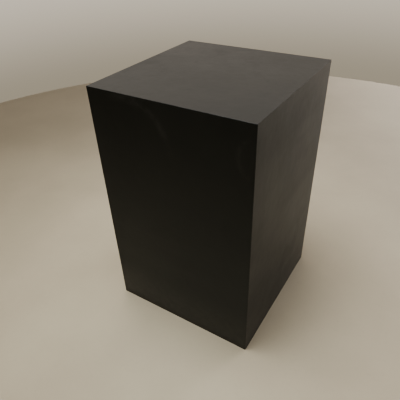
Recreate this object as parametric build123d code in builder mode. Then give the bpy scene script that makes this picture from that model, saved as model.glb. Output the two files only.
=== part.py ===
from build123d import *
import os

# A square museum plinth: a box of mitred MDF panels over a softwood frame, closed by a
# recessed base board that carries four levelling feet. +Z is up, the front faces -Y,
# and the origin is the middle of the footprint, on the floor. Millimetres.

os.makedirs("parts", exist_ok=True)

# ---- the box ----
side = 475.0                # width and depth: the plan is square
height = 750.0
panel_thickness = 18.0
arris_radius = 0.8          # eased outer edges
base_recess = 16.0          # from the floor up to the underside of the base board
base_gap = 0.5              # between the base board's edge and each panel

# ---- softwood frame ----
batten_size = 34.0          # battens and rails are square in section
batten_easing = 1.5         # rounded long edges of planed softwood

# ---- countersunk wood screws, 4 mm, with a cross recess ----
screw_radius = 2.0
screw_head_radius = 4.0
screw_head_rim = 0.4        # cylindrical rim of the head, above its 90 degree cone
screw_tip = 5.0
screw_sink = 0.3            # head face below the wood's surface
screw_gap = 0.05            # hole larger than the screw, all round
recess_span = 4.4
recess_width = 1.1
recess_depth = 2.0
frame_screw_length = 45.0
base_screw_length = 40.0

batten_screw_heights = (110.0, 370.0, 630.0)    # into the panel on one side of the corner
batten_screw_stagger = 30.0                     # and this much higher into the other panel
top_rail_side_screw_x = 120.0                   # off the middle of the rail, each way
top_rail_up_screw_x = 60.0
bottom_rail_screw_x = 90.0
base_screw_x = 130.0
brace_screw_pitch = 110.0

# ---- number 10 beech biscuits in the mitres ----
biscuit_length = 53.0
biscuit_width = 19.0
biscuit_thickness = 4.0
slot_extra_length = 2.0     # the slots are a little longer, deeper and wider, for the glue
slot_extra_width = 1.0
slot_extra_thickness = 0.1
biscuit_from_inner_edge = 8.0                   # measured across the face of the mitre
corner_biscuit_heights = (85.0, 220.0, 355.0, 490.0, 625.0)
top_biscuit_x = (-140.0, 0.0, 140.0)

# ---- M8 levelling feet, shown wound up clear of the floor ----
foot_offset = 160.0         # from the plinth's axis, along X and along Y
thread_radius = 4.0
running_gap = 0.05          # radial clearance of the stem in the tee nut and in the pad
stem_top = 44.3
stem_chamfer = 1.0
collar_across_flats = 13.0
collar_bottom = 9.05
collar_top = 14.3
stem_disc_radius = 5.0      # disc on the stem's lower end, held in the pad
stem_disc_bottom = 3.05
stem_disc_thickness = 1.45
pad_bottom = 1.0
pad_top = 9.0
pad_radius = 16.0
pad_top_radius = 12.0
pad_rim_height = 3.0
pad_rim_easing = 0.6
socket_bottom = 3.0
socket_disc_top = 4.55

# ---- tee nuts ----
flange_radius = 11.0
flange_thickness = 1.5
barrel_radius = 5.0
barrel_height = 11.0
prong_circle_radius = 9.4
prong_width = 3.0
prong_thickness = 1.2
prong_height = 7.0
prong_taper = 4.0           # degrees

# ---- sizes that follow from those ----
half = side / 2
inner_half = half - panel_thickness
inner_top = height - panel_thickness
base_thickness = panel_thickness
base_top = base_recess + base_thickness
rail_length = 2 * (inner_half - batten_size)
rail_centre = inner_half - batten_size / 2      # of battens and rails, from the axis
rail_inner_face = inner_half - batten_size
bottom_rail_centre_z = base_top + batten_size / 2
top_rail_bottom = inner_top - batten_size
top_rail_centre_z = inner_top - batten_size / 2
barrel_top = base_recess + barrel_height
flange_bottom = base_recess - flange_thickness
slot_step = biscuit_from_inner_edge / 2 ** 0.5  # that distance along X and along Y

front = (0, -1, 0)
right = (1, 0, 0)
up = (0, 0, 1)
quarter_turns = {"front": 0, "right": 90, "back": 180, "left": 270}
corner_turns = {"front_right": 0, "back_right": 90, "back_left": 180, "front_left": 270}


def save(part, name):
    """Label a finished piece and write it under its own name."""
    part.label = name
    export_step(part, f"parts/{name}.step")


def turned(part, turn):
    """The same piece, carried round the plinth's axis."""
    with BuildPart() as copy:
        add(part, rotation=(0, 0, turn))
    return copy.part


def screw_blank(length, gap=0.0, head_cut=0.0):
    """A countersunk screw without its recess: head face at the origin, driven along +Z.

    gap makes it larger all round, for the hole it sits in, and head_cut carries the
    head's wall on past its face, out through the wood above it.
    """
    shank = screw_radius + gap
    head = screw_head_radius + gap
    cone_bottom = screw_head_rim + head - shank
    with BuildPart() as blank:
        with BuildSketch(Plane.XZ):
            with BuildLine():
                Polyline(
                    (0, -head_cut),
                    (head, -head_cut),
                    (head, screw_head_rim),
                    (shank, cone_bottom),
                    (shank, length - screw_tip),
                    (0, length + gap),
                    close=True,
                )
            make_face()
        revolve(axis=Axis.Z)
    return blank.part


def wood_screw(length):
    """A countersunk wood screw with its cross recess; the thread is its outer diameter."""
    with BuildPart() as screw:
        add(screw_blank(length))
        with BuildSketch():
            Rectangle(recess_span, recess_width)
            Rectangle(recess_width, recess_span)
        extrude(amount=recess_depth, mode=Mode.SUBTRACT)
    return screw.part


def screw_hole(length):
    """The hole that such a screw sits in."""
    return screw_blank(length, gap=screw_gap, head_cut=2 * screw_sink)


def biscuit_lens(length, width, thickness):
    """A biscuit, or the slot for one: long along X, across the mitre along Y."""
    with BuildPart() as lens:
        with BuildSketch():
            with BuildLine():
                ThreePointArc((-length / 2, 0), (0, width / 2), (length / 2, 0))
                ThreePointArc((length / 2, 0), (0, -width / 2), (-length / 2, 0))
            make_face()
        extrude(amount=thickness / 2, both=True)
    return lens.part


def repeated(shape, places, around=4):
    """The shape at each place, and again at each quarter turn of the plinth."""
    with BuildPart() as group:
        with PolarLocations(0, around):
            with Locations(*places):
                add(shape)
    return group.part


def box_between(low, high, easing_axis):
    """A planed length of softwood, with its long edges rounded."""
    size = [b - a for a, b in zip(low, high)]
    middle = tuple((a + b) / 2 for a, b in zip(low, high))
    with BuildPart() as timber:
        with Locations(middle):
            Box(*size)
        fillet(timber.edges().filter_by(easing_axis), radius=batten_easing)
    return timber.part


# ---- where the screws and the biscuits go: the front side, and its right-hand corner ----
head_face = rail_inner_face + screw_sink
head_face_up = top_rail_bottom + screw_sink

batten_screw_places = []
for z in batten_screw_heights:
    batten_screw_places.append(Plane((rail_centre, -head_face, z), z_dir=front))
    stagger_z = z + batten_screw_stagger
    batten_screw_places.append(Plane((head_face, -rail_centre, stagger_z), z_dir=right))

top_rail_screw_places = []
bottom_rail_screw_places = []
base_screw_places = []
for way in (-1, 1):
    side_x = way * top_rail_side_screw_x
    up_x = way * top_rail_up_screw_x
    bottom_x = way * bottom_rail_screw_x
    base_x = way * base_screw_x
    base_head = base_recess + screw_sink
    top_rail_screw_places.append(Plane((side_x, -head_face, top_rail_centre_z), z_dir=front))
    top_rail_screw_places.append(Plane((up_x, -rail_centre, head_face_up), z_dir=up))
    bottom_rail_screw_places.append(Plane((bottom_x, -head_face, bottom_rail_centre_z), z_dir=front))
    base_screw_places.append(Plane((base_x, -rail_centre, base_head), z_dir=up))

brace_screw_places = []
for step in (-1, 0, 1):
    brace_screw_places.append(Plane((0, step * brace_screw_pitch, head_face_up), z_dir=up))

corner_biscuit_places = []
for z in corner_biscuit_heights:
    middle = (inner_half + slot_step, -inner_half - slot_step, z)
    corner_biscuit_places.append(Plane(middle, x_dir=(0, 0, 1), z_dir=(-1, 1, 0)))

top_biscuit_places = []
for x in top_biscuit_x:
    middle = (x, -inner_half - slot_step, inner_top + slot_step)
    top_biscuit_places.append(Plane(middle, x_dir=(1, 0, 0), z_dir=(0, 1, -1)))

# ---- the fasteners, each kind a group of separate solids ----
frame_screw = wood_screw(frame_screw_length)
base_screw = wood_screw(base_screw_length)
frame_hole = screw_hole(frame_screw_length)
base_hole = screw_hole(base_screw_length)
biscuit = biscuit_lens(biscuit_length, biscuit_width, biscuit_thickness)
slot = biscuit_lens(
    biscuit_length + slot_extra_length,
    biscuit_width + slot_extra_width,
    biscuit_thickness + slot_extra_thickness,
)

save(repeated(frame_screw, batten_screw_places), "batten_screws")
save(repeated(frame_screw, top_rail_screw_places), "top_rail_screws")
save(repeated(frame_screw, bottom_rail_screw_places), "bottom_rail_screws")
save(repeated(frame_screw, brace_screw_places, around=1), "top_brace_screws")
save(repeated(base_screw, base_screw_places), "base_board_screws")
save(repeated(biscuit, corner_biscuit_places), "corner_biscuits")
save(repeated(biscuit, top_biscuit_places), "top_biscuits")

batten_holes = repeated(frame_hole, batten_screw_places)
top_rail_holes = repeated(frame_hole, top_rail_screw_places)
bottom_rail_holes = repeated(frame_hole, bottom_rail_screw_places)
brace_holes = repeated(frame_hole, brace_screw_places, around=1)
base_holes = repeated(base_hole, base_screw_places)
corner_slots = repeated(slot, corner_biscuit_places)
top_slots = repeated(slot, top_biscuit_places)

# ---- the outside of the box as one block, with every arris eased except on the floor ----
with BuildPart() as eased_block:
    Box(side, side, height, align=(Align.CENTER, Align.CENTER, Align.MIN))
    upright_edges = eased_block.edges().filter_by(Axis.Z)
    top_edges = eased_block.faces().sort_by(Axis.Z)[-1].edges()
    fillet(upright_edges + top_edges, radius=arris_radius)

# ---- side panels: mitred at both ends and along the top, square on the floor ----
with BuildPart() as side_panel:
    with BuildSketch():
        with BuildLine():
            Polyline(
                (-half, -half),
                (half, -half),
                (inner_half, -inner_half),
                (-inner_half, -inner_half),
                close=True,
            )
        make_face()
    extrude(amount=height)
    with BuildSketch(Plane.YZ):
        with BuildLine():
            Polyline(
                (-half, 0),
                (-half, height),
                (-inner_half, inner_top),
                (-inner_half, 0),
                close=True,
            )
        make_face()
    extrude(amount=half, both=True, mode=Mode.INTERSECT)
    add(eased_block.part, mode=Mode.INTERSECT)
    for cut in (corner_slots, top_slots, batten_holes, top_rail_holes, bottom_rail_holes):
        add(cut, mode=Mode.SUBTRACT)

for name, turn in quarter_turns.items():
    save(turned(side_panel.part, turn), f"{name}_panel")

# ---- top panel: mitred along all four edges ----
with BuildPart() as top_panel:
    with BuildSketch(Plane.XZ):
        with BuildLine():
            Polyline(
                (-half, height),
                (half, height),
                (inner_half, inner_top),
                (-inner_half, inner_top),
                close=True,
            )
        make_face()
    extrude(amount=half, both=True)
    with BuildSketch(Plane.YZ):
        with BuildLine():
            Polyline(
                (-half, height),
                (half, height),
                (inner_half, inner_top),
                (-inner_half, inner_top),
                close=True,
            )
        make_face()
    extrude(amount=half, both=True, mode=Mode.INTERSECT)
    add(eased_block.part, mode=Mode.INTERSECT)
    for cut in (top_slots, top_rail_holes, brace_holes):
        add(cut, mode=Mode.SUBTRACT)
save(top_panel.part, "top_panel")

# ---- corner battens, from the base board to the underside of the top ----
with BuildPart() as batten:
    add(box_between(
        (rail_inner_face, -inner_half, base_top),
        (inner_half, -rail_inner_face, inner_top),
        Axis.Z,
    ))
    add(batten_holes, mode=Mode.SUBTRACT)

for name, turn in corner_turns.items():
    save(turned(batten.part, turn), f"batten_{name}")

# ---- rails between the battens, at the bottom and at the top ----
with BuildPart() as bottom_rail:
    add(box_between(
        (-rail_length / 2, -inner_half, base_top),
        (rail_length / 2, -rail_inner_face, base_top + batten_size),
        Axis.X,
    ))
    add(bottom_rail_holes, mode=Mode.SUBTRACT)
    add(base_holes, mode=Mode.SUBTRACT)

with BuildPart() as top_rail:
    add(box_between(
        (-rail_length / 2, -inner_half, top_rail_bottom),
        (rail_length / 2, -rail_inner_face, inner_top),
        Axis.X,
    ))
    add(top_rail_holes, mode=Mode.SUBTRACT)

for name, turn in quarter_turns.items():
    save(turned(bottom_rail.part, turn), f"bottom_rail_{name}")
    save(turned(top_rail.part, turn), f"top_rail_{name}")

# ---- brace under the middle of the top, front to back ----
with BuildPart() as top_brace:
    add(box_between(
        (-batten_size / 2, -rail_length / 2, top_rail_bottom),
        (batten_size / 2, rail_length / 2, inner_top),
        Axis.Y,
    ))
    add(brace_holes, mode=Mode.SUBTRACT)
save(top_brace.part, "top_brace")


# ---- levelling feet ----
def foot_plane(x, y):
    """The upright plane through a foot's axis, for profiles that are turned about it."""
    return Plane((x, y, 0), x_dir=(1, 0, 0), z_dir=(0, -1, 0))


def foot_axis(x, y):
    return Axis((x, y, 0), (0, 0, 1))


def tee_nut(x, y):
    """A pronged tee nut: a flange under the board, and a barrel and prongs up into it."""
    with BuildPart() as nut:
        with BuildSketch(foot_plane(x, y)):
            with BuildLine():
                Polyline(
                    (thread_radius + running_gap, flange_bottom),
                    (flange_radius, flange_bottom),
                    (flange_radius, base_recess),
                    (barrel_radius, base_recess),
                    (barrel_radius, barrel_top),
                    (thread_radius + running_gap, barrel_top),
                    close=True,
                )
            make_face()
        revolve(axis=foot_axis(x, y))
        with BuildSketch(Plane((x, y, base_recess))):
            with PolarLocations(prong_circle_radius, 4):
                Rectangle(prong_thickness, prong_width)
        extrude(amount=prong_height, taper=prong_taper)
    return nut.part


def foot_pad(x, y):
    """A nylon pad with an undercut socket, in which the stem's disc turns."""
    disc = stem_disc_radius + running_gap
    neck = thread_radius + running_gap
    with BuildPart() as pad:
        with BuildSketch(foot_plane(x, y)):
            with BuildLine():
                Polyline(
                    (0, pad_bottom),
                    (pad_radius - pad_rim_easing, pad_bottom),
                    (pad_radius, pad_bottom + pad_rim_easing),
                    (pad_radius, pad_bottom + pad_rim_height),
                    (pad_top_radius, pad_top),
                    (neck, pad_top),
                    (neck, socket_disc_top),
                    (disc, socket_disc_top),
                    (disc, socket_bottom),
                    (0, socket_bottom),
                    close=True,
                )
            make_face()
        revolve(axis=foot_axis(x, y))
    return pad.part


def foot_stem(x, y):
    """An M8 stem with a hexagon collar to turn it by and a disc that holds it in the pad."""
    disc_top = stem_disc_bottom + stem_disc_thickness
    with BuildPart() as stem:
        with BuildSketch(foot_plane(x, y)):
            with BuildLine():
                Polyline(
                    (0, stem_disc_bottom),
                    (stem_disc_radius, stem_disc_bottom),
                    (stem_disc_radius, disc_top),
                    (thread_radius, disc_top),
                    (thread_radius, stem_top - stem_chamfer),
                    (thread_radius - stem_chamfer, stem_top),
                    (0, stem_top),
                    close=True,
                )
            make_face()
        revolve(axis=foot_axis(x, y))
        with BuildSketch(Plane((x, y, collar_bottom))):
            RegularPolygon(collar_across_flats / 2, side_count=6, major_radius=False)
        extrude(amount=collar_top - collar_bottom)
    return stem.part


foot_places = {
    "front_left": (-foot_offset, -foot_offset),
    "front_right": (foot_offset, -foot_offset),
    "back_left": (-foot_offset, foot_offset),
    "back_right": (foot_offset, foot_offset),
}

with BuildPart() as tee_nuts:
    for x, y in foot_places.values():
        add(tee_nut(x, y))
save(tee_nuts.part, "tee_nuts")

for name, (x, y) in foot_places.items():
    save(foot_pad(x, y), f"foot_pad_{name}")
    save(foot_stem(x, y), f"foot_stem_{name}")

# ---- base board, drilled for its screws and for the tee nuts ----
base_side = 2 * (inner_half - base_gap)
with BuildPart() as base_board:
    with BuildSketch(Plane.XY.offset(base_recess)):
        Rectangle(base_side, base_side)
    extrude(amount=base_thickness)
    add(base_holes, mode=Mode.SUBTRACT)
    add(tee_nuts.part, mode=Mode.SUBTRACT)
    with BuildSketch(Plane.XY.offset(base_recess)):
        with Locations(*foot_places.values()):
            Circle(barrel_radius)
    extrude(amount=base_thickness, mode=Mode.SUBTRACT)
save(base_board.part, "base_board")
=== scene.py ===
"""Display plinth: finishes, screw threads, floor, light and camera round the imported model."""

import math

import bmesh
import bpy
from mathutils import Euler, Matrix, Vector


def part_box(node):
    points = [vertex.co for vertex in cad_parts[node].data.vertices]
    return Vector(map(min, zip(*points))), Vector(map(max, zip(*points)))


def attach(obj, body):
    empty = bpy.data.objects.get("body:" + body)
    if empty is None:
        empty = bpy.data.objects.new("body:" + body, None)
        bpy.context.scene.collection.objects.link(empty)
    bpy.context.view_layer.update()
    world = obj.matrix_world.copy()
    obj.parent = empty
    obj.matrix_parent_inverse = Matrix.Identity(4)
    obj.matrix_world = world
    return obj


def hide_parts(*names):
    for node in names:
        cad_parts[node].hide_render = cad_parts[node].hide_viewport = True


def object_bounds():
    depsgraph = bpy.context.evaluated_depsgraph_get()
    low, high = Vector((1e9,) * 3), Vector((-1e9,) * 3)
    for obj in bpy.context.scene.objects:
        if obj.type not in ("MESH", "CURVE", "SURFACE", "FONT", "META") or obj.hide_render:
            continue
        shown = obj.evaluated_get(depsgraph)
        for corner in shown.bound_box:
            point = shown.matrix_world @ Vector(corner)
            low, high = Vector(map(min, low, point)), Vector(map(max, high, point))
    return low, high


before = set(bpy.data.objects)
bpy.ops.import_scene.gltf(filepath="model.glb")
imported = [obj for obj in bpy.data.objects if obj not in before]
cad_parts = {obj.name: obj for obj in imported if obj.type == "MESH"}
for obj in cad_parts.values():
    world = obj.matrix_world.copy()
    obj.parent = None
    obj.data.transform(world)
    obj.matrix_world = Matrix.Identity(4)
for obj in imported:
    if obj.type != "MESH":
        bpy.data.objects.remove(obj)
CAD_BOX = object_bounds()
HIGH = Vector(CAD_BOX[1])
HALF = HIGH.x                      # half the side of the square plan
HEIGHT = HIGH.z

# ---- camera, metres and degrees ----
CAMERA_PLACE = (0.5472, -0.9313, 1.1059)
CAMERA_TURN = (54.44, 1.75, 31.98)
CAMERA_LENS = 36.83                # mm, on a 36 mm sensor


def add_camera():
    data = bpy.data.cameras.new("camera")
    data.lens = CAMERA_LENS
    data.sensor_width = 36.0
    camera = bpy.data.objects.new("camera", data)
    camera.location = CAMERA_PLACE
    camera.rotation_euler = Euler([math.radians(a) for a in CAMERA_TURN])
    bpy.context.scene.collection.objects.link(camera)
    bpy.context.scene.camera = camera


add_camera()


# ---- a short way to write node trees ----
class Nodes:
    """Adds nodes to a tree. A value given to a method is a number, a colour or another node's output."""

    def __init__(self, tree):
        self.tree = tree

    def add(self, kind, **settings):
        node = self.tree.nodes.new(kind)
        for key, value in settings.items():
            setattr(node, key, value)
        return node

    def put(self, socket, value):
        if isinstance(value, bpy.types.NodeSocket):
            self.tree.links.new(value, socket)
        elif value is not None:
            socket.default_value = value

    def math(self, operation, *values):
        node = self.add("ShaderNodeMath", operation=operation)
        for socket, value in zip(node.inputs, values):
            self.put(socket, value)
        return node.outputs[0]

    def plus(self, first, second):
        return self.math("ADD", first, second)

    def minus(self, first, second):
        return self.math("SUBTRACT", first, second)

    def times(self, first, second):
        return self.math("MULTIPLY", first, second)

    def either(self, first, second):
        return self.math("MAXIMUM", first, second)

    def distance(self, first, second):
        """The length of a line that runs first along one axis and second along another."""
        return self.math("SQRT", self.plus(self.times(first, first), self.times(second, second)))

    def split(self, vector):
        node = self.add("ShaderNodeSeparateXYZ")
        self.put(node.inputs[0], vector)
        return node.outputs

    def band(self, value, low, high, start=0.0, end=1.0):
        """value from low to high becomes start to end, smoothly, and stays there beyond."""
        node = self.add("ShaderNodeMapRange", interpolation_type="SMOOTHSTEP")
        for socket, number in zip(node.inputs, (value, low, high, start, end)):
            self.put(socket, number)
        return node.outputs[0]

    def mix(self, share, first, second):
        node = self.add("ShaderNodeMix", data_type="RGBA")
        self.put(node.inputs[0], share)
        self.put(node.inputs[6], first)      # the colour sockets of a Mix node
        self.put(node.inputs[7], second)
        return node.outputs[2]


class Finish(Nodes):
    """The node tree of one material, with a Principled shader as its surface."""

    def __init__(self, name):
        self.material = bpy.data.materials.new(name)
        self.material.use_nodes = True
        super().__init__(self.material.node_tree)
        self.shader = self.tree.nodes["Principled BSDF"]
        self.place = self.add("ShaderNodeTexCoord").outputs["Object"]
        self.normal = self.add("ShaderNodeNewGeometry").outputs["Normal"]

    def stretch(self, scale, turn=(0, 0, 0)):
        """The place on the object, stretched and turned, for a texture."""
        node = self.add("ShaderNodeMapping")
        self.put(node.inputs["Vector"], self.place)
        node.inputs["Rotation"].default_value = [math.radians(a) for a in turn]
        node.inputs["Scale"].default_value = scale
        return node.outputs[0]

    def noise(self, scale, detail=3.0, rough=0.5, vector=None, distort=0.0):
        node = self.add("ShaderNodeTexNoise")
        self.put(node.inputs["Vector"], vector or self.place)
        node.inputs["Scale"].default_value = scale
        node.inputs["Detail"].default_value = detail
        node.inputs["Roughness"].default_value = rough
        node.inputs["Distortion"].default_value = distort
        return node.outputs["Fac"]

    def specks(self, scale, low, high):
        """Scattered round specks: the middle of each cell of a cell texture."""
        node = self.add("ShaderNodeTexVoronoi", feature="F1")
        self.put(node.inputs["Vector"], self.place)
        node.inputs["Scale"].default_value = scale
        return self.band(node.outputs["Distance"], low, high)

    def bumps(self, *heights):
        """Each height is (strength, depth in metres, texture); they add up in order."""
        normal = None
        for strength, depth, texture in heights:
            node = self.add("ShaderNodeBump")
            node.inputs["Strength"].default_value = strength
            node.inputs["Distance"].default_value = depth
            self.put(node.inputs["Height"], texture)
            self.put(node.inputs["Normal"], normal)
            normal = node.outputs[0]
        self.put(self.shader.inputs["Normal"], normal)

    def surface(self, color, rough, **fixed):
        """Give the shader its colour and roughness, and any input that is the same all over."""
        self.put(self.shader.inputs["Base Color"], color)
        self.put(self.shader.inputs["Roughness"], rough)
        for name, value in fixed.items():
            self.shader.inputs[name.replace("_", " ")].default_value = value
        return self.material


def rgb(red, green, blue):
    return (red, green, blue, 1.0)


# ---- raw boards and timber; a texture's scale is in repeats to the metre ----
MDF_COLOR = rgb(0.36, 0.235, 0.135)
MDF_DARK = rgb(0.24, 0.15, 0.085)
MDF_STAIN = rgb(0.10, 0.07, 0.05)
PINE_COLOR = rgb(0.60, 0.41, 0.22)
PINE_RING = rgb(0.42, 0.24, 0.10)
PINE_FIBRE = rgb(0.30, 0.18, 0.08)
PINE_RINGS = 260.0                 # growth rings to the metre
PINE_WAVER = 0.02                  # metres that the rings wander
BEECH_COLOR = rgb(0.50, 0.32, 0.18)
BEECH_FLECK = rgb(0.34, 0.20, 0.10)


def mdf_look(n):
    """Colour and bump texture of a sanded medium-density fibreboard."""
    fibre = n.noise(700.0, detail=6.0, rough=0.7)
    cloud = n.noise(14.0, detail=3.0)
    shade = n.band(n.plus(n.times(fibre, 0.6), n.times(cloud, 0.4)), 0.35, 0.65)
    return n.mix(shade, MDF_DARK, MDF_COLOR), fibre


def raw_mdf():
    n = Finish("raw_mdf")
    color, fibre = mdf_look(n)
    stain = n.band(n.noise(5.0, detail=4.0, rough=0.6), 0.56, 0.72, 0.0, 0.35)
    color = n.mix(stain, color, MDF_STAIN)
    n.bumps((0.35, 0.0003, fibre))
    return n.surface(color, n.band(fibre, 0.2, 0.8, 0.78, 0.95))


def grain_noise(n, across, along, axis):
    """A texture drawn out along the grain: across and along are its scales, axis the grain's."""
    scale = [across, across, across]
    scale[axis] = along
    return n.noise(1.0, detail=3.0, vector=n.stretch(scale))


def softwood(name, axis, pith):
    """Planed pine. axis is 0, 1 or 2, the way the grain runs; pith is where the rings centre."""
    n = Finish(name)
    waver = grain_noise(n, 14.0, 1.2, axis)
    fibre = grain_noise(n, 900.0, 18.0, axis)
    place = n.split(n.place)
    across = [k for k in range(3) if k != axis]
    from_pith = n.distance(*[n.minus(place[k], centre) for k, centre in zip(across, pith)])
    from_pith = n.plus(from_pith, n.times(waver, PINE_WAVER))
    ring = n.math("FRACT", n.times(from_pith, PINE_RINGS))
    late = n.times(n.band(ring, 0.35, 0.92), n.band(ring, 1.0, 0.94))
    color = n.mix(n.times(late, 0.75), PINE_COLOR, PINE_RING)
    color = n.mix(n.band(fibre, 0.35, 0.7, 0.0, 0.22), color, PINE_FIBRE)
    n.bumps((0.3, 0.0002, fibre), (0.25, 0.0002, late))
    return n.surface(color, n.band(late, 0.0, 1.0, 0.72, 0.55))


def beech():
    n = Finish("beech")
    fleck = n.noise(1.0, detail=4.0, vector=n.stretch((900.0, 900.0, 160.0)))
    color = n.mix(n.band(fleck, 0.4, 0.65), BEECH_COLOR, BEECH_FLECK)
    n.bumps((0.3, 0.0002, fleck))
    return n.surface(color, 0.7)


# ---- steel and nylon ----
ZINC_BRIGHT = rgb(0.60, 0.60, 0.57)
ZINC_GREY = rgb(0.47, 0.46, 0.43)
ZINC_DULL = rgb(0.34, 0.32, 0.28)
NYLON_COLOR = rgb(0.018, 0.018, 0.018)
NYLON_SCUFF = rgb(0.09, 0.085, 0.075)


def zinc_steel():
    n = Finish("zinc_steel")
    streak = n.noise(900.0, detail=4.0, rough=0.7)
    cloud = n.noise(120.0, detail=3.0)
    color = n.mix(n.band(cloud, 0.35, 0.7), ZINC_BRIGHT, ZINC_GREY)
    dull = n.band(n.noise(60.0, detail=5.0, rough=0.7), 0.58, 0.72, 0.0, 0.5)
    color = n.mix(dull, color, ZINC_DULL)
    n.bumps((0.15, 0.00005, streak))
    return n.surface(color, n.band(streak, 0.3, 0.7, 0.26, 0.42), Metallic=1.0)


def nylon():
    n = Finish("nylon")
    grain = n.noise(1600.0, detail=2.0)
    scuff = n.band(n.noise(160.0, detail=5.0, rough=0.7), 0.55, 0.75, 0.0, 0.35)
    color = n.mix(scuff, NYLON_COLOR, NYLON_SCUFF)
    n.bumps((0.2, 0.00008, grain))
    return n.surface(color, n.band(grain, 0.3, 0.7, 0.5, 0.64))


# ---- satin black lacquer on the panels ----
LACQUER = rgb(0.0060, 0.0072, 0.0060)
LACQUER_WARM = rgb(0.0088, 0.0094, 0.0076)
LACQUER_ROUGH = 0.40
WORN = rgb(0.060, 0.056, 0.048)
DUST = rgb(0.130, 0.118, 0.096)
LIGHTER_BELOW_HEIGHT = 0.18                 # the sides are lighter in colour below this, more so lower down
SCUFF_HEIGHT = 0.030               # feet and mops scuff the sides below this
CONTACT_SHADOW = rgb(0.012, 0.0075, 0.0045)   # painted shadow: a dark line along the bottom edge, where it meets the floor
CONTACT_SHADOW_HEIGHT = 0.0036
SKIN = 0.0015                      # nearer than this to the outside is lacquered
SKIN_FADE = 0.0006                 # and the lacquer gives way to bare board over this much more
OVERSPRAY = 0.011                  # spray mist reaches this far in from the outside
BARE_ROUGH = 0.85
FACES = (0.7, 0.9)                 # a face looks along an axis when its normal is this near to it
# hand marks on the front, as arcs: centre x and z, radius, half width, then the side it is on
FRONT_MARKS = (
    ((-0.120, 0.612), 0.128, 0.017, (0.55, 0.83), 0.45),
    ((0.247, 0.664), 0.052, 0.011, (-1.0, 0.0), 0.10),
)
TOP_MARK = ((-0.089, 0.051), 0.020)               # a wiped spot: centre x and y, radius
# hairline scratches run two ways: the texture's scale, and its turn in degrees
SCRATCH_WAYS = (
    ((3.0, 420.0, 260.0), (24, 8, 31)),
    ((380.0, 5.0, 300.0), (-18, 12, 9)),
)


def from_outside(n, place):
    """How far a point is inside the box's surface, and how far from the box's nearest edge."""
    gap_x = n.minus(HALF, n.math("ABSOLUTE", place[0]))
    gap_y = n.minus(HALF, n.math("ABSOLUTE", place[1]))
    gap_z = n.minus(HEIGHT, place[2])
    nearer = n.math("MINIMUM", gap_x, gap_y)
    farther = n.either(gap_x, gap_y)
    skin = n.math("MINIMUM", nearer, gap_z)
    arris = n.either(nearer, n.math("MINIMUM", farther, gap_z))
    return skin, arris


def arc_mark(n, across, upward, mark):
    """A soft stroke along an arc, strongest towards one side of its centre."""
    (centre_x, centre_z), radius, half_width, toward, reach = mark
    off_x = n.minus(across, centre_x)
    off_z = n.minus(upward, centre_z)
    away = n.math("ABSOLUTE", n.minus(n.distance(off_x, off_z), radius))
    along = n.plus(n.times(off_x, toward[0]), n.times(off_z, toward[1]))
    return n.times(n.band(away, half_width, 0.0), n.band(along, reach * radius, 0.95 * radius))


def hand_marks(n, place, grain, front, top):
    """The strokes on the front and the spot on the top, both broken up by the grain."""
    strokes = n.either(*[arc_mark(n, place[0], place[2], mark) for mark in FRONT_MARKS])
    strokes = n.times(n.times(strokes, front), n.band(grain, 0.35, 0.62))
    (spot_x, spot_y), spot_radius = TOP_MARK
    off = n.distance(n.minus(place[0], spot_x), n.minus(place[1], spot_y))
    spot = n.times(n.band(off, spot_radius, 0.0), top)
    return n.either(strokes, n.times(spot, n.band(grain, 0.3, 0.6, 0.0, 0.3)))


def scratches(n):
    """Fine hairline scratches."""
    hairs = []
    for scale, turn in SCRATCH_WAYS:
        hair = n.noise(1.0, detail=2.0, distort=0.25, vector=n.stretch(scale, turn))
        hairs.append(n.band(hair, 0.80, 0.84))
    return n.either(*hairs)


def worn_edges(n, height, arris):
    """Where the edges are rubbed, and where they and the bottom edge are chipped to the board."""
    rubbed = n.times(n.band(arris, 0.0016, 0.0004), n.band(n.noise(70.0, detail=5.0, rough=0.7), 0.42, 0.70))
    chip = n.times(n.band(arris, 0.0022, 0.0008), n.band(n.noise(130.0, detail=3.0), 0.66, 0.70))
    foot_breaks = n.band(n.noise(95.0, detail=4.0, rough=0.7), 0.60, 0.66)
    foot_chip = n.times(n.band(height, 0.0035, 0.0010), foot_breaks)
    return rubbed, n.either(chip, foot_chip)


def dusting(n, height, grain, top):
    """Dust that dulls the top and the foot, and a lighter tone, in colour alone, that grows towards the
    bottom of the sides.
    """
    smears = n.noise(1.0, detail=5.0, rough=0.7, vector=n.stretch((60.0, 60.0, 260.0)))
    scuff = n.times(n.band(height, SCUFF_HEIGHT, 0.002), n.band(smears, 0.50, 0.72))
    settled = n.times(top, n.band(grain, 0.40, 0.75, 0.02, 0.07))
    # lighter in colour towards the bottom of every side, fading out upwards; roughness is left as it is
    lower_lightening = n.times(n.band(height, LIGHTER_BELOW_HEIGHT, 0.0, 0.0, 0.20), n.band(grain, 0.30, 0.70, 0.7, 1.3))
    return n.either(n.times(scuff, 0.45), settled), lower_lightening


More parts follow.
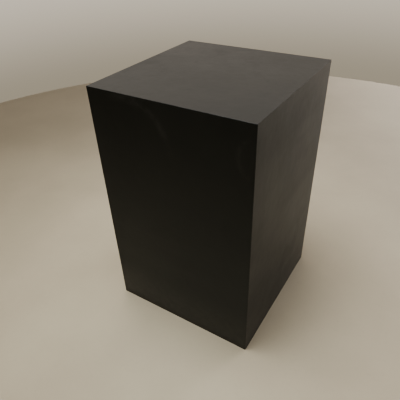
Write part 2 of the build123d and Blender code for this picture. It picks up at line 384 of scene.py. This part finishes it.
def black_lacquer():
    """Sprayed satin lacquer outside; the same panels are bare board inside and under the rim."""
    n = Finish("black_lacquer")
    place = n.split(n.place)
    facing = n.split(n.normal)
    height = place[2]
    front = n.band(facing[1], -FACES[0], -FACES[1])
    top = n.band(facing[2], *FACES)
    skin, arris = from_outside(n, place)

    # how it was sprayed: soft clouds, level passes of the gun, orange peel and a few nibs
    cloud = n.noise(6.0, detail=4.0, rough=0.55)
    passes = n.noise(1.0, detail=2.0, vector=n.stretch((1.6, 1.6, 13.0)))
    peel = n.noise(330.0, detail=1.5, rough=0.4)
    ripple = n.noise(34.0, detail=1.0)
    nib = n.specks(85.0, 0.055, 0.02)

    # what has happened to it since, then a lighter tone low on the sides and a painted shadow along the
    # bottom edge
    grain = n.noise(42.0, detail=5.0, rough=0.65, distort=0.6)
    wipes = n.noise(1.0, detail=5.0, rough=0.6, distort=1.2, vector=n.stretch((7.0, 7.0, 4.0)))
    wiped = n.band(wipes, 0.54, 0.72)
    marks = hand_marks(n, place, grain, front, top)
    scratch = scratches(n)
    rubbed, chip = worn_edges(n, height, arris)
    dust, lower_lightening = dusting(n, height, grain, top)
    # painted shadow: the lowest few millimetres are darkened as shade where the panels meet the floor, and
    # made duller
    contact_shadow = n.band(height, CONTACT_SHADOW_HEIGHT, CONTACT_SHADOW_HEIGHT / 2)

    color = n.mix(n.band(cloud, 0.35, 0.68), LACQUER, LACQUER_WARM)
    color = n.mix(n.times(rubbed, 0.55), color, WORN)
    color = n.mix(n.times(scratch, 0.18), color, WORN)
    color = n.mix(n.times(marks, 0.11), color, DUST)
    # dust, and the lighter tone low on the sides
    color = n.mix(n.either(dust, lower_lightening), color, DUST)
    # the painted shadow along the bottom edge
    color = n.mix(contact_shadow, color, CONTACT_SHADOW)

    rough = n.band(cloud, 0.3, 0.7, LACQUER_ROUGH - 0.02, LACQUER_ROUGH + 0.03)
    rough = n.plus(rough, n.band(passes, 0.35, 0.65, -0.015, 0.015))
    for mask, change in ((wiped, 0.035), (marks, 0.15), (dust, 0.9), (rubbed, -0.06), (contact_shadow, 0.35)):
        rough = n.plus(rough, n.times(mask, change))

    # bare board shows inside, under the rim, and where the lacquer is chipped
    bare_color, fibre = mdf_look(n)
    mist = n.times(n.band(skin, OVERSPRAY, 0.001), n.band(n.noise(420.0, detail=3.0), 0.30, 0.62))
    bare_color = n.mix(n.times(mist, 0.85), bare_color, LACQUER_WARM)
    bare = n.either(n.band(skin, SKIN, SKIN + SKIN_FADE), n.times(chip, 0.45))
    color = n.mix(bare, color, bare_color)
    rough = n.plus(n.times(rough, n.minus(1.0, bare)), n.times(bare, BARE_ROUGH))
    n.bumps(
        (0.10, 0.0030, ripple),
        (0.16, 0.00025, peel),
        (0.25, 0.00020, nib),
        (0.12, 0.00010, n.times(scratch, -1.0)),
        (0.50, 0.00040, n.times(bare, n.minus(fibre, 1.5))),
    )
    return n.surface(color, rough, IOR=1.45, Specular_Tint=rgb(0.92, 0.97, 1.0))


# ---- each CAD node's finish ----
TIMBERS = ("batten_", "bottom_rail_", "top_rail_", "top_brace")
PITH_NEAREST = 0.045               # from the middle of a piece to the middle of its log
PITH_STEP = 0.004                  # and how much more it is from one place in the log to the next
PITH_PLACES = 9


def timber_finish(name):
    """Pine whose grain runs along the piece, sawn from a different place in the log each time."""
    low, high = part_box(name)
    size = high - low
    middle = (low + high) / 2
    axis = max(range(3), key=lambda k: size[k])
    across = [k for k in range(3) if k != axis]
    seed = sum(ord(letter) for letter in name)
    swing = math.radians(seed * 37 % 360)
    reach = PITH_NEAREST + PITH_STEP * (seed % PITH_PLACES)
    pith = (middle[across[0]] + reach * math.cos(swing), middle[across[1]] + reach * math.sin(swing))
    return softwood("softwood_" + name, axis, pith)


def finish_nodes(metal, plastic):
    """Give every CAD node its finish."""
    lacquer, board, biscuit = black_lacquer(), raw_mdf(), beech()
    for name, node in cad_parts.items():
        if name.endswith("_panel"):
            look = lacquer
        elif name == "base_board":
            look = board
        elif name.endswith("_biscuits"):
            look = biscuit
        elif name.startswith(TIMBERS) and not name.endswith("_screws"):
            look = timber_finish(name)
        elif name.startswith("foot_pad"):
            look = plastic
        else:
            look = metal
        node.data.materials.clear()
        node.data.materials.append(look)


METAL = zinc_steel()
PLASTIC = nylon()
finish_nodes(METAL, PLASTIC)

# ---- turned and threaded pieces ----
SMOOTH_BELOW = 35.0                # degrees between two faces that are shaded as one curve
THREAD_FLANK = 0.36                # from the middle of a crest down to the root, in pitches
THREAD_CROWN = 1.25                # above 1, it leaves the crest flat and wider


def lathe(rows, segments, reach=None):
    """Vertices and faces of a closed turned shape. rows are (radius, z) from one end to the other;
    reach(radius, z, angle) may change the radius, as a thread or a hexagon does."""
    points = [(0.0, 0.0, rows[0][1])]
    for radius, z in rows:
        for k in range(segments):
            angle = 2 * math.pi * k / segments
            r = reach(radius, z, angle) if reach else radius
            points.append((r * math.cos(angle), r * math.sin(angle), z))
    points.append((0.0, 0.0, rows[-1][1]))
    faces = []
    last = len(points) - 1
    for k in range(segments):
        after = (k + 1) % segments
        faces.append((0, 1 + after, 1 + k))
        for row in range(len(rows) - 1):
            low = 1 + row * segments
            high = low + segments
            faces.append((low + k, low + after, high + after, high + k))
        top = 1 + (len(rows) - 1) * segments
        faces.append((top + k, top + after, last))
    return points, faces


def joined(shapes):
    """Several shapes as one, each still a closed solid of its own."""
    points, faces = [], []
    for shape_points, shape_faces in shapes:
        start = len(points)
        points += shape_points
        faces += [tuple(start + corner for corner in face) for face in shape_faces]
    return points, faces


def piece(name, shape, look):
    """An object made from the vertices and faces of a shape."""
    points, faces = shape
    mesh = bpy.data.meshes.new(name)
    mesh.from_pydata(points, [], faces)
    mesh.validate()
    mesh.update()
    mesh.materials.append(look)
    mesh.shade_smooth()
    mesh.set_sharp_from_angle(angle=math.radians(SMOOTH_BELOW))
    made = bpy.data.objects.new(name, mesh)
    bpy.context.scene.collection.objects.link(made)
    return made


def stand_in(name, shape, look, body, node):
    """A piece that rides on a body and stands for the plainer CAD node."""
    made = piece(name, shape, look)
    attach(made, body)
    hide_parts(node)


def thread(root, pitch, start, end, run_out):
    """A radius rule: the row's own radius at the crests, root between them, fading in and out. Outside
    start and end it brings every row that is wider than root down to root."""
    def reach(radius, z, angle):
        if radius <= root:
            return radius
        phase = (z / pitch - angle / (2 * math.pi)) % 1.0
        crest = max(0.0, 1.0 - abs(phase - 0.5) / THREAD_FLANK)
        fade = min(1.0, max(0.0, (z - start) / run_out), max(0.0, (end - z) / run_out))
        return root + (radius - root) * min(1.0, crest * THREAD_CROWN) * fade
    return reach


def even_rows(rows, step):
    """The same outline with rows added, no farther apart along z than step."""
    out = [rows[0]]
    for (r0, z0), (r1, z1) in zip(rows, rows[1:]):
        count = max(1, math.ceil(abs(z1 - z0) / step))
        for k in range(1, count + 1):
            share = k / count
            out.append((r0 + (r1 - r0) * share, z0 + (z1 - z0) * share))
    return out


# ---- wood screws ----
SCREW_RADIUS = 0.0020              # over the thread
SCREW_ROOT = 0.00135
SCREW_NECK = 0.00145               # radius of the plain length under the head
SCREW_PITCH = 0.0022
SCREW_HEAD = 0.0040
SCREW_RIM = 0.0004
SCREW_RIM_EASE = 0.0001
SCREW_TIP = 0.0050
SCREW_POINT = 0.0001               # radius at the very tip
SCREW_PLAIN = 0.0080               # from the head to where the thread starts
SCREW_SHOULDER = 0.0002            # length over which the neck widens to the thread
SCREW_RUN_OUT = 0.0025
SCREW_SEGMENTS = 16
SCREW_TURN_ROWS = 6                # rows of points to each turn of the thread
SCREW_SPIN = 0.7                   # radians from one screw's recess to the next one's
RECESS_SPAN = 0.0044
RECESS_WIDTH = 0.0011
RECESS_DEPTH = 0.0020
RECESS_TAPER = 0.62                # its floor's size as a share of its mouth's
RECESS_PROUD = 0.0005              # how far the cutter stands out of the head
MERGE = 0.000001                   # points nearer than this after the recess is cut are one point
HEAD_MARGIN = 0.0001               # how much farther from the middle than its tip a head's rim is


def recess_arm(turn):
    """One tapering arm of the cross recess, as a cutter that stands a little out of the head."""
    points = []
    for z, share in ((-RECESS_PROUD, 1.0), (RECESS_DEPTH, RECESS_TAPER)):
        x, y = RECESS_SPAN / 2 * share, RECESS_WIDTH / 2 * share
        for corner in ((-x, -y, z), (x, -y, z), (x, y, z), (-x, y, z)):
            points.append(tuple(Matrix.Rotation(math.radians(turn), 3, "Z") @ Vector(corner)))
    faces = [(3, 2, 1, 0), (4, 5, 6, 7)]
    for k in range(4):
        after = (k + 1) % 4
        faces.append((k, after, 4 + after, 4 + k))
    return piece("recess_arm", (points, faces), METAL)


def without_doubles(mesh):
    """Vertices and faces of a mesh, with the doubled points that a cut leaves made one."""
    clean = bmesh.new()
    clean.from_mesh(mesh)
    bmesh.ops.remove_doubles(clean, verts=clean.verts, dist=MERGE)
    clean.verts.index_update()
    points = [tuple(vertex.co) for vertex in clean.verts]
    faces = [tuple(vertex.index for vertex in face.verts) for face in clean.faces]
    clean.free()
    return points, faces


def wood_screw(length):
    """A wood screw with its thread and cross recess, wide end at the origin and tip along +Z.

    Known fault: reach also brings the head's rows and the neck down to the root radius, so the head is
    missing, and the recess cuts what is left into a star-shaped stub. The screws of the CAD are whole."""
    cone_end = SCREW_RIM + SCREW_HEAD - SCREW_NECK
    rows = [
        (SCREW_HEAD - SCREW_RIM_EASE, 0.0),
        (SCREW_HEAD, SCREW_RIM_EASE),
        (SCREW_HEAD, SCREW_RIM),
        (SCREW_NECK, cone_end),
        (SCREW_NECK, SCREW_PLAIN),
    ]
    threaded = [
        (SCREW_RADIUS, SCREW_PLAIN + SCREW_SHOULDER),
        (SCREW_RADIUS, length - SCREW_TIP),
        (SCREW_POINT, length),
    ]
    rows += even_rows(threaded, SCREW_PITCH / SCREW_TURN_ROWS)
    reach = thread(SCREW_ROOT, SCREW_PITCH, SCREW_PLAIN, length, SCREW_RUN_OUT)
    body = piece("screw_body", lathe(rows, SCREW_SEGMENTS, reach), METAL)
    arms = [recess_arm(turn) for turn in (0.0, 90.0)]
    for arm in arms:
        cut = body.modifiers.new("recess", "BOOLEAN")
        cut.operation = "DIFFERENCE"
        cut.solver = "EXACT"
        cut.object = arm
    bpy.context.view_layer.update()
    solid = bpy.data.meshes.new_from_object(body.evaluated_get(bpy.context.evaluated_depsgraph_get()))
    for scrap in [body, *arms]:
        bpy.data.objects.remove(scrap)
    return without_doubles(solid)


def islands(name):
    """The separate solids of a CAD node, as lists of points."""
    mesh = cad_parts[name].data
    owner = list(range(len(mesh.vertices)))

    def root(k):
        while owner[k] != k:
            owner[k] = owner[owner[k]]
            k = owner[k]
        return k

    same_place = {}
    for vertex in mesh.vertices:
        key = tuple(round(c, 6) for c in vertex.co)
        owner[root(vertex.index)] = root(same_place.setdefault(key, vertex.index))
    for edge in mesh.edges:
        a, b = edge.vertices
        owner[root(a)] = root(b)
    groups = {}
    for vertex in mesh.vertices:
        groups.setdefault(root(vertex.index), []).append(vertex.co.copy())
    return list(groups.values())


def screw_places(name):
    """Where each screw of a CAD node has its head and which way it points, and the screws' length."""
    places = []
    for points in islands(name):
        low = Vector([min(p[k] for p in points) for k in range(3)])
        high = Vector([max(p[k] for p in points) for k in range(3)])
        size = high - low
        along = max(range(3), key=lambda axis: size[axis])
        middle = (low + high) / 2
        # the head's rim is wide, so its points are farther from the middle than the tip is
        low_end = [p for p in points if p[along] < low[along] + SCREW_RIM / 2]
        head_is_low = any((p - middle).length > size[along] / 2 + HEAD_MARGIN for p in low_end)
        direction = Vector((0, 0, 0))
        direction[along] = 1.0 if head_is_low else -1.0
        head = middle.copy()
        head[along] = low[along] if head_is_low else high[along]
        places.append((head, direction))
    return places, round(size[along], 4)


def add_screws():
    """Threaded screws in the place of each plain group of CAD screws."""
    made = {}
    for name in sorted(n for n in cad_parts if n.endswith("_screws")):
        places, length = screw_places(name)
        if length not in made:
            made[length] = wood_screw(length)
        points, faces = made[length]
        shapes = []
        for count, (head, direction) in enumerate(places):
            spin = Matrix.Rotation(SCREW_SPIN * count, 3, "Z")
            turn = direction.to_track_quat("Z", "Y").to_matrix() @ spin
            shapes.append(([tuple(turn @ Vector(p) + head) for p in points], faces))
        stand_in(name + "_threaded", joined(shapes), METAL, "carcass", name)


add_screws()

# ---- levelling feet: heights are above the underside of the stem, or of the pad ----
STEM_PITCH = 0.00125
STEM_ROOT = 0.00342
STEM_RADIUS = 0.0040
STEM_TIP = 0.0006
STEM_TURN_ROWS = 8                 # rows of points to each turn of the thread
COLLAR_FLATS = 0.013
COLLAR_LOW = 0.00605
COLLAR_HIGH = 0.0113
COLLAR_CHAMFER = 0.0010
DISC_RADIUS = 0.0050
DISC_THICK = 0.00145
DISC_EASE = 0.0002
PAD_RADIUS = 0.016
PAD_EDGE_LOW = 0.0028              # the top of its upright edge, and of the small chamfer there
PAD_EDGE_HIGH = 0.0031
PAD_EDGE_CHAMFER = 0.0002
PAD_TOP_RADIUS = 0.012
PAD_ROUND = 0.0008                 # rounding of its two rims
PAD_ROUND_STEPS = 4
PAD_CENTRE_RADIUS = 0.0015         # the flat middle of its underside
GRIP_RINGS = 4
GRIP_PITCH = 0.0030
GRIP_WIDTH = 0.0020
GRIP_DEPTH = 0.0004
GRIP_SLOPE = 0.0003                # how much of its width each side of a ring takes
SOCKET_GAP = 0.00005               # round the stem and its disc
SOCKET_BOTTOM = 0.0020
SOCKET_TOP = 0.00355
SOCKET_CHAMFER = 0.0004
FOOT_SEGMENTS = 48                 # a multiple of 12, so that the collar's corners are sharp


def hexagon(radius, angle):
    """Across the flats this is the collar's size; radius, where it is less, rounds the corners."""
    flat = COLLAR_FLATS / 2 / math.cos(angle % (math.pi / 3) - math.pi / 6)
    return min(radius, flat)


def stem_shape(low, high):
    """The steel stem: a disc that turns in the pad, a hexagonal collar, and the thread above it."""
    disc_top = low + DISC_THICK
    collar_low, collar_high = low + COLLAR_LOW, low + COLLAR_HIGH
    corner_radius = COLLAR_FLATS / 2 / math.cos(math.pi / 6)
    rows = [
        (DISC_RADIUS - DISC_EASE, low),
        (DISC_RADIUS, low + DISC_EASE),
        (DISC_RADIUS, disc_top - DISC_EASE),
        (DISC_RADIUS - DISC_EASE, disc_top),
        (STEM_RADIUS, disc_top),
        (STEM_RADIUS, collar_low),
        (corner_radius - COLLAR_CHAMFER, collar_low),
        (corner_radius, collar_low + COLLAR_CHAMFER / 2),
        (corner_radius, collar_high - COLLAR_CHAMFER / 2),
        (corner_radius - COLLAR_CHAMFER, collar_high),
    ]
    threaded = [(STEM_RADIUS, collar_high), (STEM_RADIUS, high - STEM_TIP), (STEM_RADIUS - STEM_TIP, high)]
    rows += even_rows(threaded, STEM_PITCH / STEM_TURN_ROWS)
    # the thread fades in above the collar, and its end lies far past the tip, where it doesn't fade
    cut = thread(STEM_ROOT, STEM_PITCH, collar_high, high + 1.0, STEM_PITCH)

    def reach(radius, z, angle):
        if z > collar_high:
            return cut(radius, z, angle)
        if z >= collar_low and radius > STEM_RADIUS:
            return hexagon(radius, angle)
        return radius

    return lathe(rows, FOOT_SEGMENTS, reach)


def rounded(radius, z, start):
    """Rows of a pad's rounded rim about (radius, z), from the angle start on through 90 degrees."""
    rows = []
    for k in range(PAD_ROUND_STEPS + 1):
        angle = math.radians(start + 90 * k / PAD_ROUND_STEPS)
        rows.append((radius + PAD_ROUND * math.cos(angle), z + PAD_ROUND * math.sin(angle)))
    return rows


def pad_shape(low, high):
    """The nylon pad: fine grip rings underneath, rounded rims, and the socket for the stem's disc."""
    rows = [(PAD_CENTRE_RADIUS, low + GRIP_DEPTH)]
    for ring in range(GRIP_RINGS):
        inner = GRIP_PITCH * (ring + 1)
        outer = inner + GRIP_WIDTH
        rows += [(inner, low + GRIP_DEPTH), (inner + GRIP_SLOPE, low)]
        rows += [(outer - GRIP_SLOPE, low), (outer, low + GRIP_DEPTH)]
    rows += rounded(PAD_RADIUS - PAD_ROUND, low + PAD_ROUND, -90)
    rows += [(PAD_RADIUS, low + PAD_EDGE_LOW), (PAD_RADIUS - PAD_EDGE_CHAMFER, low + PAD_EDGE_HIGH)]
    rows += rounded(PAD_TOP_RADIUS - PAD_ROUND, high - PAD_ROUND, 0)
    neck = STEM_RADIUS + SOCKET_GAP
    disc = DISC_RADIUS + SOCKET_GAP
    rows += [(neck + SOCKET_CHAMFER, high), (neck, high - SOCKET_CHAMFER), (neck, low + SOCKET_TOP)]
    rows += [(disc, low + SOCKET_TOP), (disc, low + SOCKET_BOTTOM)]
    return lathe(rows, FOOT_SEGMENTS)


def placed(shape_of, node):
    """A turned shape that runs from the lowest to the highest point of a node, on its upright axis."""
    low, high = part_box(node)
    middle = (low + high) / 2
    points, faces = shape_of(low.z, high.z)
    return [(x + middle.x, y + middle.y, z) for x, y, z in points], faces


def add_foot(corner):
    """One levelling foot. Its stem turns in its pad, so each rides on a body of its own."""
    stem, pad = "foot_stem_" + corner, "foot_pad_" + corner
    stem_body, pad_body = "stem_" + corner, "foot_" + corner
    stand_in("levelling_stem_" + corner, placed(stem_shape, stem), METAL, stem_body, stem)
    stand_in("levelling_pad_" + corner, placed(pad_shape, pad), PLASTIC, pad_body, pad)


for corner in ("front_left", "front_right", "back_left", "back_right"):
    add_foot(corner)

# ---- floor, light and air ----
FLOOR_SIDE = 24.0
FLOOR_COLOR = rgb(0.50, 0.445, 0.325)
FLOOR_SHADE = rgb(0.45, 0.398, 0.288)
FLOOR_SPECK = rgb(0.33, 0.29, 0.22)
BACKDROP_RADIUS = 2.3
BACKDROP_HEIGHT = 4.0
BACKDROP_SIDES = 96
# the backdrop's glow: painted shade at its foot, painted light above
BACKDROP_FOOT_SHADE = rgb(0.30, 0.265, 0.205)
BACKDROP_GLOW = rgb(0.62, 0.56, 0.47)
BACKDROP_COVE = 0.9                # height over which the painted shade at the foot gives way to the wall's glow
SKY_WALL = rgb(0.86, 0.76, 0.665)  # towards the back, as a pale wall would send light
SKY_ROOM = rgb(0.012, 0.012, 0.011)               # towards the front, the unlit ceiling of the room
SKY_ROOM_LOW = rgb(0.46, 0.44, 0.41)              # and its walls, which the object's sides mirror
ROOM_FADE = (0.30, 0.62)           # how high the walls give way to the ceiling, as a sine
WALL_TOWARDS = (-0.20, 0.98, 0.0)
WALL_FADE = (-0.2, 0.9)            # how nearly a direction faces the wall, from none to all of it


def add_floor():
    n = Finish("floor")
    cloud = n.noise(1.7, detail=5.0, rough=0.55)
    speck = n.noise(60.0, detail=4.0, rough=0.6)
    color = n.mix(n.band(cloud, 0.35, 0.65), FLOOR_SHADE, FLOOR_COLOR)
    color = n.mix(n.band(speck, 0.55, 0.75, 0.0, 0.12), color, FLOOR_SPECK)
    n.bumps((0.05, 0.002, speck))
    half = FLOOR_SIDE / 2
    corners = [(-half, -half, 0), (half, -half, 0), (half, half, 0), (-half, half, 0)]
    piece("floor", (corners, [(0, 1, 2, 3)]), n.surface(color, 0.62))


def add_backdrop():
    """A pale wall far round the floor, which glows: its colour is painted light, darker at its foot as
    painted shade. It sends no light: the sky behind it does that.
    """
    n = Finish("backdrop")
    rise = n.band(n.split(n.place)[2], 0.0, BACKDROP_COVE)
    # painted light: the wall's glow, with painted shade at its foot that runs into the far floor's tone
    n.put(n.shader.inputs["Emission Color"], n.mix(rise, BACKDROP_FOOT_SHADE, BACKDROP_GLOW))
    look = n.surface(rgb(0.0, 0.0, 0.0), 1.0, Emission_Strength=1.0)
    points, faces = [], []
    for side in range(BACKDROP_SIDES):
        angle = 2 * math.pi * side / BACKDROP_SIDES
        x, y = BACKDROP_RADIUS * math.cos(angle), BACKDROP_RADIUS * math.sin(angle)
        points += [(x, y, 0.0), (x, y, BACKDROP_HEIGHT)]
        low, after = 2 * side, 2 * ((side + 1) % BACKDROP_SIDES)
        faces.append((low, low + 1, after + 1, after))
    backdrop = piece("backdrop", (points, faces), look)
    backdrop.visible_diffuse = False
    backdrop.visible_glossy = False
    backdrop.visible_shadow = False


def add_sky():
    """Pale light from the back and from low down all round, and almost none from above."""
    world = bpy.data.worlds.new("studio")
    world.use_nodes = True
    bpy.context.scene.world = world
    n = Nodes(world.node_tree)
    direction = n.add("ShaderNodeTexCoord").outputs["Generated"]
    toward = n.add("ShaderNodeVectorMath", operation="DOT_PRODUCT")
    n.put(toward.inputs[0], direction)
    n.put(toward.inputs[1], WALL_TOWARDS)
    room = n.mix(n.band(n.split(direction)[2], *ROOM_FADE), SKY_ROOM_LOW, SKY_ROOM)
    sky = n.mix(n.band(toward.outputs["Value"], *WALL_FADE), room, SKY_WALL)
    n.put(world.node_tree.nodes["Background"].inputs["Color"], sky)


def add_light(name, place, aim, size, power, spread, color=(1.0, 1.0, 1.0)):
    """A soft round light that isn't itself seen; spread is its beam's angle in degrees."""
    data = bpy.data.lights.new(name, "AREA")
    data.shape = "DISK"
    data.size = size
    data.energy = power
    data.spread = math.radians(spread)
    data.color = color
    light = bpy.data.objects.new(name, data)
    light.location = place
    light.rotation_euler = (Vector(aim) - Vector(place)).to_track_quat("-Z", "Y").to_euler()
    light.visible_camera = False
    bpy.context.scene.collection.objects.link(light)


add_floor()
add_backdrop()
add_sky()
add_light("key", (-0.30, -0.42, 2.55), (0.0, -0.25, 0.0), size=1.4, power=11.2, spread=76.0)
add_light("window", (2.6, 2.4, 2.0), (0.9, 1.7, 0.0), size=1.2, power=2.5, spread=70.0)
add_light(
    "far_window", (1.9, 4.2, 2.6), (1.1, 2.9, 0.0), size=1.4, power=40.0, spread=80.0, color=(0.88, 0.88, 1.0)
)
view = bpy.context.scene.view_settings
view.view_transform = "AgX"
view.look = "AgX - Medium High Contrast"
view.exposure = 0.08
